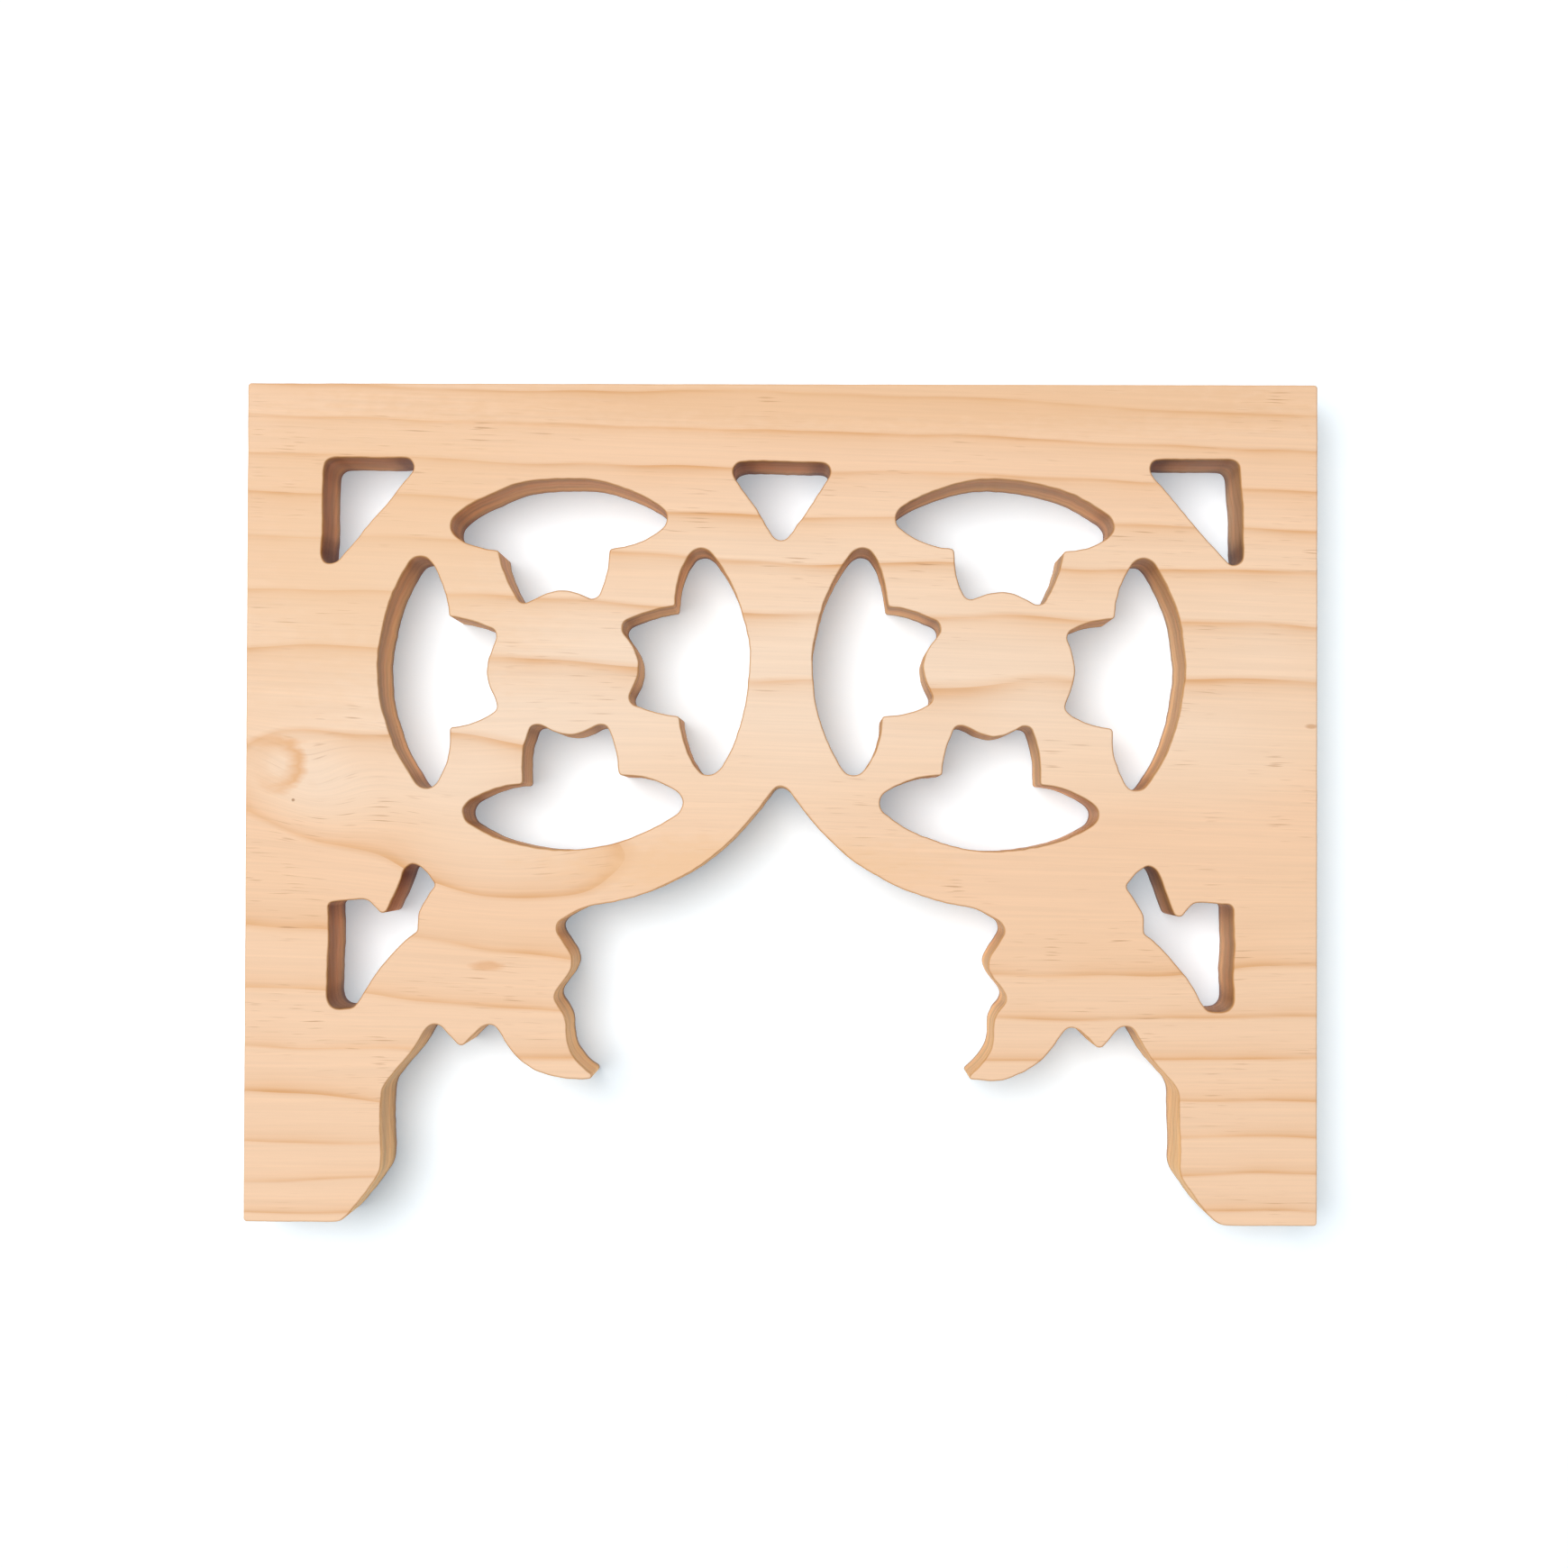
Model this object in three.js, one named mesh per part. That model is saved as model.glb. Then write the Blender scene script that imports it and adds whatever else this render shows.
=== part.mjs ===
// A carved fretwork grille: one thick pine board pierced by two turned rosettes, three triangles
// and two side openings, and cut away below into an arch between two leaves and two square feet.
//
// Units are millimetres. The panel lies on its back: X runs along its width and the grain, Y runs
// from the feet to the top edge, and +Z points out of the face. The origin is on the back face, at
// the middle of the panel's width and height.
import * as THREE from 'three';

// The board
const BOARD_WIDTH = 370;
const BOARD_HEIGHT = 290;
const BOARD_THICKNESS = 42;
const BOARD_CORNER_RADIUS = 1.2;

// The rosettes: a hub, four windows round it, and a round rim that shows below as the arch
const HUB_FROM_MIDDLE = 75.2;
const HUB_BELOW_TOP = 97.1;
const WINDOW_RADIUS = 64.3;
const RIM_RADIUS = 84.2;

// The windows' corners, and how far the edges under their tips and beside their throats bow out
const TIP_RADIUS = 5.4;
const TIP_EDGE_BOW = 2.7;
const CUSP_RADIUS = 1.2;
const THROAT_BOW = 1.2;
const FLOOR_RADIUS = 3.2;
const LOBE_RADIUS = 15;

// The four windows of the left rosette, each drawn as if it pointed straight up from the hub.
// They were sawn by hand, so each has its own turn and sizes. A spread is measured sideways from
// the window's middle line, and a height is measured up from the hub.
const WINDOWS = {
  top: {
    facing: 0,
    turn: 2.4,
    left: { tip: [39.4, 50.3], cusp: [20.8, 40.2], floor: [13.6, 20.8] },
    right: { tip: [40.6, 49.6], cusp: [17.2, 39.4], floor: [12, 21.2] },
    lobeHeight: 27,
  },
  outer: {
    facing: 90,
    turn: 3.8,
    left: { tip: [42.9, 50.2], cusp: [19.4, 40.8], floor: [14, 23] },
    right: { tip: [43.2, 47.8], cusp: [18.8, 38.7], floor: [12.4, 21.9] },
    lobeHeight: 28,
  },
  bottom: {
    facing: 180,
    turn: 4.1,
    left: { tip: [40.5, 51], cusp: [16.6, 39.7], floor: [12.9, 20.8] },
    right: { tip: [41.2, 49.4], cusp: [17.1, 40.4], floor: [12, 18.8] },
    lobeHeight: 26.4,
  },
  inner: {
    facing: 270,
    turn: 1.6,
    left: { tip: [41.8, 48.6], cusp: [18.9, 39.2], floor: [13, 19.2] },
    right: { tip: [42.4, 49.6], cusp: [19, 39.7], floor: [13.2, 21.5] },
    lobeHeight: 28,
  },
};

// The triangles under the top edge
const TRIANGLE_RADIUS = 3.4;
const CORNER_TRIANGLE_BELOW_TOP = 25.8;
const CORNER_TRIANGLE_MARGIN = 26.6;
const CORNER_TRIANGLE_WIDTH = 35;
const CORNER_TRIANGLE_HEIGHT = 43;
const CORNER_TRIANGLE_LEAN = 1.4;
const MIDDLE_TRIANGLE_BELOW_TOP = 26.9;
const MIDDLE_TRIANGLE_WIDTH = 39.8;
const MIDDLE_TRIANGLE_HEIGHT = 30;

// The feet and the legs above them
const FOOT_WIDTH = 33.8;
const FOOT_SLOPE_RISE = 17.6;
const FOOT_SLOPE_BOW = 0.8;
const LEG_WIDTH = 47.3;
const LEG_HEIGHT = 46.6;
const LEG_CORNER_RADIUS = 7;
const HIP_BOW = 1.5;

// The forms under the rosettes hang from them, so their heights are measured up from a
// setting-out line that lies this far below the hubs.
const LINE_BELOW_HUB = 192.9;

// The two scallops beside each leg and the leaf that hangs next to the arch. Heights are measured
// from the setting-out line, and places across from the middle line.
const SCALLOP_HEIGHT = 71.6;
const SCALLOP_RADIUS = 3.6;
const OUTER_SCALLOP_FROM_MIDDLE = 119.8;
const INNER_SCALLOP_FROM_MIDDLE = 98.8;
const SCALLOP_POINT_FROM_MIDDLE = 110.3;
const SCALLOP_POINT_HEIGHT = 60;
const SCALLOP_POINT_RADIUS = 2;
const LEAF_TIP_FROM_MIDDLE = 63.2;
const LEAF_TIP_HEIGHT = 50.4;
const LEAF_TIP_RADIUS = 1;
const LEAF_BACK_BOW = 9;
const LEAF_FRONT_BOW = 4.2;
const LEAF_NECK_FROM_MIDDLE = 73;
const LEAF_NECK_HEIGHT = 70.5;
const LEAF_NECK_RADIUS = 8;
const NOTCH_FROM_MIDDLE = 79;
const NOTCH_RADIUS = 3.6;
const LOWER_NOTCH_HEIGHT = 78;
const UPPER_NOTCH_HEIGHT = 102.8;
const LEAF_LOBE_FROM_MIDDLE = 69.9;
const LEAF_LOBE_HEIGHT = 89.4;
const LEAF_LOBE_RADIUS = 7;

// The arch, which follows the rims of both rosettes to a point
const ARCH_FOOT_FROM_MIDDLE = 68;
const ARCH_FOOT_RADIUS = 18;
const ARCH_APEX_RADIUS = 3.4;

// The opening outside each leaf. Heights are measured from the setting-out line, and places across
// from the opening's own straight outer side, which is this far in from the board's side.
const OPENING_MARGIN = 28.7;
const OPENING_RADIUS = 4;
const OPENING_BOTTOM = 73.4;
const OPENING_BOTTOM_WIDTH = 9.4;
const OPENING_SLOPE_BOW = -2.2;
const OPENING_HEEL = [31, 100.4];
const OPENING_THROAT = [31, 107];
const OPENING_BEAK = [37, 116.5];
const OPENING_HORN = [26.8, 125.4];
const OPENING_HORN_BACK_BOW = -0.9;
const OPENING_HORN_FRONT_BOW = 1.2;
const OPENING_NOTCH = [19.2, 105];
const OPENING_SHOULDER = [13.8, 111.6];
const OPENING_OUTER_TOP = 110.4;

// The finest steps: how far a chord may leave its arc, and the turn of one step of a round corner
const CHORD_ERROR = 0.05;
const CORNER_STEP_DEGREES = 12;

const TOP = BOARD_HEIGHT / 2;
const BOTTOM = -BOARD_HEIGHT / 2;
const LEFT = -BOARD_WIDTH / 2;
const HUB = new THREE.Vector2(-HUB_FROM_MIDDLE, TOP - HUB_BELOW_TOP);
const SETTING_OUT_LINE = HUB.y - LINE_BELOW_HUB;
const CENTRE = new THREE.Vector2();

// A corner of an outline: where it is, the radius that it is rounded to, and how far the side
// that leaves it bows out, away from what the outline encloses.
function corner(x, y, radius = 0, bow = 0) {
  return { at: new THREE.Vector2(x, y), radius, bow };
}

// The way that a ring of corners runs: 1 for counter-clockwise, -1 for clockwise.
function winding(corners) {
  let area = 0;
  corners.forEach(({ at }, i) => {
    area += at.cross(corners[(i + 1) % corners.length].at);
  });
  return Math.sign(area);
}

// A straight side of an outline, which gives its point and direction at a length along it.
function straightSide(from, along, length) {
  return {
    length,
    radius: Infinity,
    point: (s) => from.clone().addScaledVector(along, s),
    direction: () => along.clone(),
  };
}

// A side of an outline, straight or bowed into an arc to the right of its own direction.
function side(from, to, bow) {
  const chord = from.distanceTo(to);
  const along = to.clone().sub(from).normalize();
  if (Math.abs(bow) < CHORD_ERROR) return straightSide(from, along, chord);
  const right = new THREE.Vector2(along.y, -along.x);
  const halfTurn = 2 * Math.atan((2 * bow) / chord);
  const radius = chord / 2 / Math.sin(halfTurn);
  const centre = from.clone().add(to).multiplyScalar(0.5).addScaledVector(right, bow - radius);
  const length = 2 * halfTurn * radius;
  const angleAt = (s) => halfTurn * ((2 * s) / length - 1);
  return {
    length,
    radius: Math.abs(radius),
    point: (s) => centre.clone()
      .addScaledVector(along, radius * Math.sin(angleAt(s)))
      .addScaledVector(right, radius * Math.cos(angleAt(s))),
    direction: (s) => along.clone().rotateAround(CENTRE, angleAt(s)),
  };
}

// How far a rounded corner reaches along its two sides, which is never past their middles.
function cornerReach(before, after, radius) {
  const turn = before.direction(before.length).angleTo(after.direction(0));
  return Math.min(radius * Math.tan(turn / 2), before.length / 2, after.length / 2);
}

// The points of a rounded corner, as near a circular arc as one cubic curve comes.
function roundedCorner(before, after, reach) {
  const inward = before.direction(before.length - reach);
  const outward = after.direction(reach);
  const turn = inward.angleTo(outward);
  const handle = (reach * (4 / 3) * Math.tan(turn / 4)) / Math.tan(turn / 2);
  const start = before.point(before.length - reach);
  const end = after.point(reach);
  const curve = new THREE.CubicBezierCurve(
    start,
    start.clone().addScaledVector(inward, handle),
    end.clone().addScaledVector(outward, -handle),
    end,
  );
  const steps = Math.max(2, Math.ceil(THREE.MathUtils.radToDeg(turn) / CORNER_STEP_DEGREES));
  return curve.getPoints(steps);
}

// The points between the rounded ends of a side, close enough to follow its arc.
function sidePoints(edge, startReach, endReach) {
  if (edge.radius === Infinity) return [];
  const step = 2 * Math.acos(1 - CHORD_ERROR / edge.radius) * edge.radius;
  const span = edge.length - startReach - endReach;
  const steps = Math.max(1, Math.ceil(span / step));
  const points = [];
  for (let i = 1; i < steps; i += 1) {
    points.push(edge.point(startReach + (span * i) / steps));
  }
  return points;
}

// The closed run of points through a ring of corners.
function ringPoints(corners) {
  const way = winding(corners);
  const count = corners.length;
  const sides = corners.map(({ at, bow }, i) => side(at, corners[(i + 1) % count].at, bow * way));
  const sideBefore = (i) => sides[(i + count - 1) % count];
  const reaches = corners.map(({ radius }, i) => cornerReach(sideBefore(i), sides[i], radius));
  return corners.flatMap(({ at }, i) => [
    ...(reaches[i] > 0 ? roundedCorner(sideBefore(i), sides[i], reaches[i]) : [at.clone()]),
    ...sidePoints(sides[i], reaches[i], reaches[(i + 1) % count]),
  ]);
}

// The same points on the other side of the middle line.
function mirrored(points) {
  return points.map(({ x, y }) => new THREE.Vector2(-x, y)).reverse();
}

// A run of corners up to the middle line, carried on by its mirror image beyond it.
function withMirrorImage(corners) {
  const beyond = corners.slice(0, -1).map(({ at, radius }, i) => (
    corner(-at.x, at.y, radius, i > 0 ? corners[i - 1].bow : 0)
  )).reverse();
  const middle = { ...corners.at(-1), bow: corners.at(-2).bow };
  return [...corners.slice(0, -1), middle, ...beyond];
}

// One window of a rosette: an arc on top, a round tip at each end, and a throat that runs down
// between two cusps to the lobe on the hub.
function windowPoints({ facing, turn, left, right, lobeHeight }) {
  const arcBow = WINDOW_RADIUS - (left.tip[1] + right.tip[1]) / 2;
  const corners = [
    corner(right.tip[0], right.tip[1], TIP_RADIUS, arcBow),
    corner(-left.tip[0], left.tip[1], TIP_RADIUS, TIP_EDGE_BOW),
    corner(-left.cusp[0], left.cusp[1], CUSP_RADIUS, THROAT_BOW),
    corner(-left.floor[0], left.floor[1], FLOOR_RADIUS),
    corner(0, lobeHeight, LOBE_RADIUS),
    corner(right.floor[0], right.floor[1], FLOOR_RADIUS, THROAT_BOW),
    corner(right.cusp[0], right.cusp[1], CUSP_RADIUS, TIP_EDGE_BOW),
  ];
  const angle = THREE.MathUtils.degToRad(facing + turn);
  return ringPoints(corners).map((point) => point.rotateAround(CENTRE, angle).add(HUB));
}

// The upright triangle in the board's upper left corner.
function cornerTrianglePoints() {
  const top = TOP - CORNER_TRIANGLE_BELOW_TOP;
  const outside = LEFT + CORNER_TRIANGLE_MARGIN;
  return ringPoints([
    corner(outside, top, TRIANGLE_RADIUS),
    corner(outside - CORNER_TRIANGLE_LEAN, top - CORNER_TRIANGLE_HEIGHT, TRIANGLE_RADIUS),
    corner(outside + CORNER_TRIANGLE_WIDTH, top, TRIANGLE_RADIUS),
  ]);
}

// The triangle that hangs point down between the rosettes.
function middleTrianglePoints() {
  const top = TOP - MIDDLE_TRIANGLE_BELOW_TOP;
  return ringPoints([
    corner(-MIDDLE_TRIANGLE_WIDTH / 2, top, TRIANGLE_RADIUS),
    corner(0, top - MIDDLE_TRIANGLE_HEIGHT, TRIANGLE_RADIUS),
    corner(MIDDLE_TRIANGLE_WIDTH / 2, top, TRIANGLE_RADIUS),
  ]);
}

// The opening between the left leaf and the board's side, with a horn that reaches up to the rim.
function sideOpeningPoints() {
  const inward = LEFT + OPENING_MARGIN;
  const place = ([across, height], radius, bow) => (
    corner(inward + across, SETTING_OUT_LINE + height, radius, bow)
  );
  return ringPoints([
    place([0, OPENING_OUTER_TOP], OPENING_RADIUS / 2),
    place([0, OPENING_BOTTOM], OPENING_RADIUS),
    place([OPENING_BOTTOM_WIDTH, OPENING_BOTTOM], OPENING_RADIUS, OPENING_SLOPE_BOW),
    place(OPENING_HEEL, OPENING_RADIUS / 2),
    place(OPENING_THROAT, OPENING_RADIUS),
    place(OPENING_BEAK, OPENING_RADIUS / 2, OPENING_HORN_FRONT_BOW),
    place(OPENING_HORN, OPENING_RADIUS, OPENING_HORN_BACK_BOW),
    place(OPENING_NOTCH, OPENING_RADIUS / 2),
    place(OPENING_SHOULDER, OPENING_RADIUS),
  ]);
}

// The foot and leg at the left.
function footCorners() {
  const footInside = LEFT + FOOT_WIDTH;
  const legInside = LEFT + LEG_WIDTH;
  return [
    corner(LEFT, BOTTOM, BOARD_CORNER_RADIUS),
    corner(footInside, BOTTOM, LEG_CORNER_RADIUS, FOOT_SLOPE_BOW),
    corner(legInside, BOTTOM + FOOT_SLOPE_RISE, LEG_CORNER_RADIUS),
    corner(legInside, BOTTOM + LEG_HEIGHT, LEG_CORNER_RADIUS, HIP_BOW),
  ];
}

// The two scallops at the left, with the point that hangs between them.
function scallopCorners() {
  const scallop = SETTING_OUT_LINE + SCALLOP_HEIGHT;
  const point = SETTING_OUT_LINE + SCALLOP_POINT_HEIGHT;
  return [
    corner(-OUTER_SCALLOP_FROM_MIDDLE, scallop, SCALLOP_RADIUS),
    corner(-SCALLOP_POINT_FROM_MIDDLE, point, SCALLOP_POINT_RADIUS),
    corner(-INNER_SCALLOP_FROM_MIDDLE, scallop, SCALLOP_RADIUS, LEAF_BACK_BOW),
  ];
}

// The left leaf, from its hanging tip up its front edge to the arch.
function leafCorners() {
  const place = (across, height, radius, bow) => (
    corner(-across, SETTING_OUT_LINE + height, radius, bow)
  );
  return [
    place(LEAF_TIP_FROM_MIDDLE, LEAF_TIP_HEIGHT, LEAF_TIP_RADIUS, -LEAF_FRONT_BOW),
    place(LEAF_NECK_FROM_MIDDLE, LEAF_NECK_HEIGHT, LEAF_NECK_RADIUS),
    place(NOTCH_FROM_MIDDLE, LOWER_NOTCH_HEIGHT, NOTCH_RADIUS),
    place(LEAF_LOBE_FROM_MIDDLE, LEAF_LOBE_HEIGHT, LEAF_LOBE_RADIUS),
    place(NOTCH_FROM_MIDDLE, UPPER_NOTCH_HEIGHT, NOTCH_RADIUS),
  ];
}

// The left half of the arch, an arc of the rosette's rim that ends at the middle line.
function archCorners() {
  const rimHeight = (x) => HUB.y - Math.sqrt(RIM_RADIUS ** 2 - (x - HUB.x) ** 2);
  const foot = new THREE.Vector2(-ARCH_FOOT_FROM_MIDDLE, rimHeight(-ARCH_FOOT_FROM_MIDDLE));
  const apex = new THREE.Vector2(0, rimHeight(0));
  const bow = RIM_RADIUS - Math.sqrt(RIM_RADIUS ** 2 - (foot.distanceTo(apex) / 2) ** 2);
  return [
    corner(foot.x, foot.y, ARCH_FOOT_RADIUS, bow),
    corner(apex.x, apex.y, ARCH_APEX_RADIUS),
  ];
}

// The board's outline, from the upper left corner round the feet to the upper right corner.
function outlinePoints() {
  return ringPoints(withMirrorImage([
    corner(LEFT, TOP, BOARD_CORNER_RADIUS),
    ...footCorners(),
    ...scallopCorners(),
    ...leafCorners(),
    ...archCorners(),
  ]));
}

// All openings: those of the left half, their mirror images, and the middle triangle.
function openings() {
  const leftHalf = [
    ...Object.values(WINDOWS).map(windowPoints),
    cornerTrianglePoints(),
    sideOpeningPoints(),
  ];
  return [...leftHalf, ...leftHalf.map(mirrored), middleTrianglePoints()];
}

// The pierced board, cut square through its whole thickness.
function fretworkPanel() {
  const shape = new THREE.Shape(outlinePoints());
  shape.holes = openings().map((points) => new THREE.Path(points));
  const mesh = new THREE.Mesh(
    new THREE.ExtrudeGeometry(shape, { depth: BOARD_THICKNESS, bevelEnabled: false }),
    new THREE.MeshStandardMaterial({ color: 0xf0d0a6, roughness: 0.6, metalness: 0 }),
  );
  mesh.name = 'fretwork_panel';
  return mesh;
}

const grille = new THREE.Group();
grille.add(fretworkPanel());

export default grille;
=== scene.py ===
# %% [markdown]
# # A carved fretwork grille in pine
#
# The real piece is one thick pine board, sawn through with a bow saw and eased with a rasp. Two
# rosettes, three triangles and two side openings pierce it, and an arch between two leaves is
# cut from its lower edge. This lesson dresses the measured board in wood and lights it as the
# photograph was lit: lying on its back on a white sheet, seen from straight above.
#
# The measured board comes from the frame. Lengths are in metres, and in millimetres where a name
# ends in MM, in the board's own axes: X along the grain, Y from the feet to the top edge, and Z
# out of the face.

import bpy
import numpy as np
from mathutils import Euler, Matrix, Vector
from mathutils.geometry import delaunay_2d_cdt


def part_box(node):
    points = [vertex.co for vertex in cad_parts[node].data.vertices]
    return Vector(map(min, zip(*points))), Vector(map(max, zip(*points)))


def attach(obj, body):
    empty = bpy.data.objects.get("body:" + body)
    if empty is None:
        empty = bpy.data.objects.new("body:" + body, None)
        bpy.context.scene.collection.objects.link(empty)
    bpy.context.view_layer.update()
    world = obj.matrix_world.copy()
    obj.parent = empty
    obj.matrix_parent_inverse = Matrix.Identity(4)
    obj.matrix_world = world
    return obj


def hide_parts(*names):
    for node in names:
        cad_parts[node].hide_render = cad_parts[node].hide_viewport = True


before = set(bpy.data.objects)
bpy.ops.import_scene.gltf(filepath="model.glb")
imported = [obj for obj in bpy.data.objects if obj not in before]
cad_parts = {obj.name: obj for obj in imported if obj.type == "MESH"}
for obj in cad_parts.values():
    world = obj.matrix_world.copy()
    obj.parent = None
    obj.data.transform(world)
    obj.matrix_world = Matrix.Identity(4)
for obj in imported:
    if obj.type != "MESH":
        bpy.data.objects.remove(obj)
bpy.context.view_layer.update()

MM = 0.001
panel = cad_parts["fretwork_panel"]
low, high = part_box("fretwork_panel")
width, height, thickness = (high[k] - low[k] for k in range(3))
print(f"board {width / MM:.1f} x {height / MM:.1f} x {thickness / MM:.1f} mm")

# %% [markdown]
# ## The camera
#
# The photograph is a flat lay, so the camera looks almost straight down. It is close enough to
# show the inner walls: those left of the middle show their left wall, and those right of it
# their right wall. The distance and the small tilts below make the board's edges and the feet
# of its walls fall where they do in the photograph.

# %% Set up the camera
CAMERA_PLACE_MM = (11.64, -10.45, 1166.95)
CAMERA_TURN_DEGREES = (0.872, 0.533, 0.188)
LENS_MM = 74.807
SENSOR_MM = 36

camera_data = bpy.data.cameras.new("flat_lay_camera")
camera_data.lens = LENS_MM
camera_data.sensor_width = SENSOR_MM
camera = bpy.data.objects.new("flat_lay_camera", camera_data)
camera.location = Vector(CAMERA_PLACE_MM) * MM
camera.rotation_euler = Euler(np.radians(CAMERA_TURN_DEGREES), "XYZ")
bpy.context.collection.objects.link(camera)
bpy.context.scene.camera = camera
print(f"camera {camera.location.z:.3f} m above the floor, lens {camera_data.lens:.1f} mm")

# %% [markdown]
# ## The rims of the board
#
# The saw left one closed rim round the board and one round each opening. They could be typed in
# again, but then they might not match. So they are read from the measured board: an edge of its
# flat face that only one triangle uses is part of a rim. The points of a rim run with the wood
# on their left, so the way out of the wood is always to the right.

# %% Read the rims
WELD = 0.002 * MM
LEVEL_ENOUGH = 0.99


def rims_at(mesh, level):
    """The closed runs of points round the flat face at this level, with the wood on the left."""
    points = np.array([vertex.co for vertex in mesh.vertices])
    numbers = {}
    spots = [tuple(spot) for spot in np.round(points / WELD).astype(int)]
    same = [numbers.setdefault(spot, len(numbers)) for spot in spots]
    place = {number: points[i][:2] for i, number in enumerate(same)}
    after = {}
    for polygon in mesh.polygons:
        if abs(polygon.normal.z) < LEVEL_ENOUGH or abs(polygon.center.z - level) > WELD:
            continue
        corners = [same[i] for i in polygon.vertices]
        for start, end in zip(corners, corners[1:] + corners[:1]):
            if after.get(end) and start in after[end]:
                after[end].discard(start)
            else:
                after.setdefault(start, set()).add(end)
    runs = []
    while any(after.values()):
        at = next(number for number, ends in after.items() if ends)
        run = []
        while after.get(at):
            run.append(place[at])
            at = after[at].pop()
        runs.append(np.array(run))
    return runs


rims = rims_at(panel.data, high[2])
print(f"{len(rims)} rims, {sum(len(rim) for rim in rims)} corners")

# %% [markdown]
# ## Sawn and rasped edges
#
# No hand-sawn edge is perfect. The cuts wander by a tenth or two of a millimetre as the blade
# turns, while the board's own planed sides stay nearly straight. Each rim is walked in short
# steps that keep all its corners. Then every point moves in or out along a slow random wave,
# which closes on itself because it is made of whole turns round the rim.

# %% Walk the rims
STEP = 1.2 * MM
ARC_PASSES = 4


def walked(rim):
    """The same rim with every corner kept, and its long sides cut into steps."""
    points = []
    for start, end in zip(rim, np.roll(rim, -1, axis=0)):
        count = int(np.ceil(np.linalg.norm(end - start) / STEP))
        points.extend(start + (end - start) * share / count for share in range(count))
    return np.array(points)


def averaged(values):
    """Values round a closed rim, each averaged with its two neighbours."""
    return (np.roll(values, 1, axis=0) + 2 * values + np.roll(values, -1, axis=0)) / 4


def rounded_arcs(rim):
    """The rim with its wide arcs made smooth, and its small corners left as they are."""
    ahead = np.linalg.norm(np.roll(rim, -1, axis=0) - rim, axis=1)
    in_long_side = np.minimum(ahead, np.roll(ahead, 1)) > STEP / 2
    for _ in range(ARC_PASSES):
        rim = np.where(in_long_side[:, None], averaged(rim), rim)
    return rim


walked_rims = [rounded_arcs(walked(rim)) for rim in rims]
print(f"{sum(len(rim) for rim in walked_rims)} points round {len(walked_rims)} rims")

# %% Let the saw wander
WANDER = 0.13 * MM
WANDER_WAVES = (14 * MM, 60 * MM)
WAVE_STRENGTHS = (0.4, 1)
LEAST_TURNS = 3
STRAIGHT_SIDE_SHARE = 0.15
SIDE_MARGIN = 0.4 * MM
SIDE_PASSES = 6
SEED = 1897
chance = np.random.default_rng(SEED)


def way_out(rim):
    """The direction out of the wood at each point of a rim."""
    along = np.roll(rim, -1, axis=0) - np.roll(rim, 1, axis=0)
    across = np.column_stack([along[:, 1], -along[:, 0]])
    return across / np.linalg.norm(across, axis=1, keepdims=True)


def wave(rim, shortest, longest):
    """A random wave with a spread of 1 round a rim, made of whole turns."""
    sides = np.linalg.norm(np.roll(rim, -1, axis=0) - rim, axis=1)
    places = 2 * np.pi * (np.cumsum(sides) - sides) / sides.sum()
    fewest = max(1, round(sides.sum() / longest))
    most = max(LEAST_TURNS, round(sides.sum() / shortest))
    turns = np.arange(fewest, most)
    phases = chance.uniform(0, 2 * np.pi, len(turns))
    strengths = chance.uniform(*WAVE_STRENGTHS, len(turns)) / np.sqrt(turns)
    total = np.sum(strengths[:, None] * np.cos(turns[:, None] * places + phases[:, None]), axis=0)
    return total / total.std()


def freedom(rim):
    """How far each point may wander: little on the board's planed sides, fully elsewhere."""
    off_side = np.minimum(width / 2 - abs(rim[:, 0]), height / 2 - abs(rim[:, 1]))
    free = np.where(off_side < SIDE_MARGIN, STRAIGHT_SIDE_SHARE, 1.0)
    for _ in range(SIDE_PASSES):
        free = averaged(free)
    return free


sawn_rims = []
for rim in walked_rims:
    wander = WANDER * wave(rim, *WANDER_WAVES) * freedom(rim)
    sawn_rims.append(rim + way_out(rim) * wander[:, None])
    print(f"rim of {len(rim)} points wanders up to {abs(wander).max() / MM:.2f} mm")

# %% [markdown]
# ## The board's walls
#
# The board is one closed mesh. Each rim is drawn down through the thickness in rows to make the
# walls. The front edge was eased with sandpaper to a small round, and the back edge less, as it
# won't be seen. Between them, the blade left ripples that run nearly square through the board.
# A plain extrusion with a bevel would give the rounds too, but not the ripples.

# %% Draw the walls
FRONT_ROUND = 0.6 * MM
FRONT_TURNS_DEGREES = [0, 25, 50, 75]
BACK_ROUND = 0.4 * MM
BACK_TURNS_DEGREES = [45, 0]
WALL_ROWS = 8
RIPPLE = 0.04 * MM
RIPPLE_WAVES = (3.5 * MM, 9 * MM)


def edge_rows():
    """The depth of each row and how far it stands in from the wall, from front to back."""
    front = [(high[2] - FRONT_ROUND * (1 - np.cos(turn)), FRONT_ROUND * (1 - np.sin(turn)))
             for turn in np.radians(FRONT_TURNS_DEGREES)]
    wall = [(z, 0.0) for z in np.linspace(high[2] - FRONT_ROUND, low[2] + BACK_ROUND, WALL_ROWS)]
    back = [(low[2] + BACK_ROUND * (1 - np.cos(turn)), BACK_ROUND * (1 - np.sin(turn)))
            for turn in np.radians(BACK_TURNS_DEGREES)]
    return front + wall + back


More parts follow.
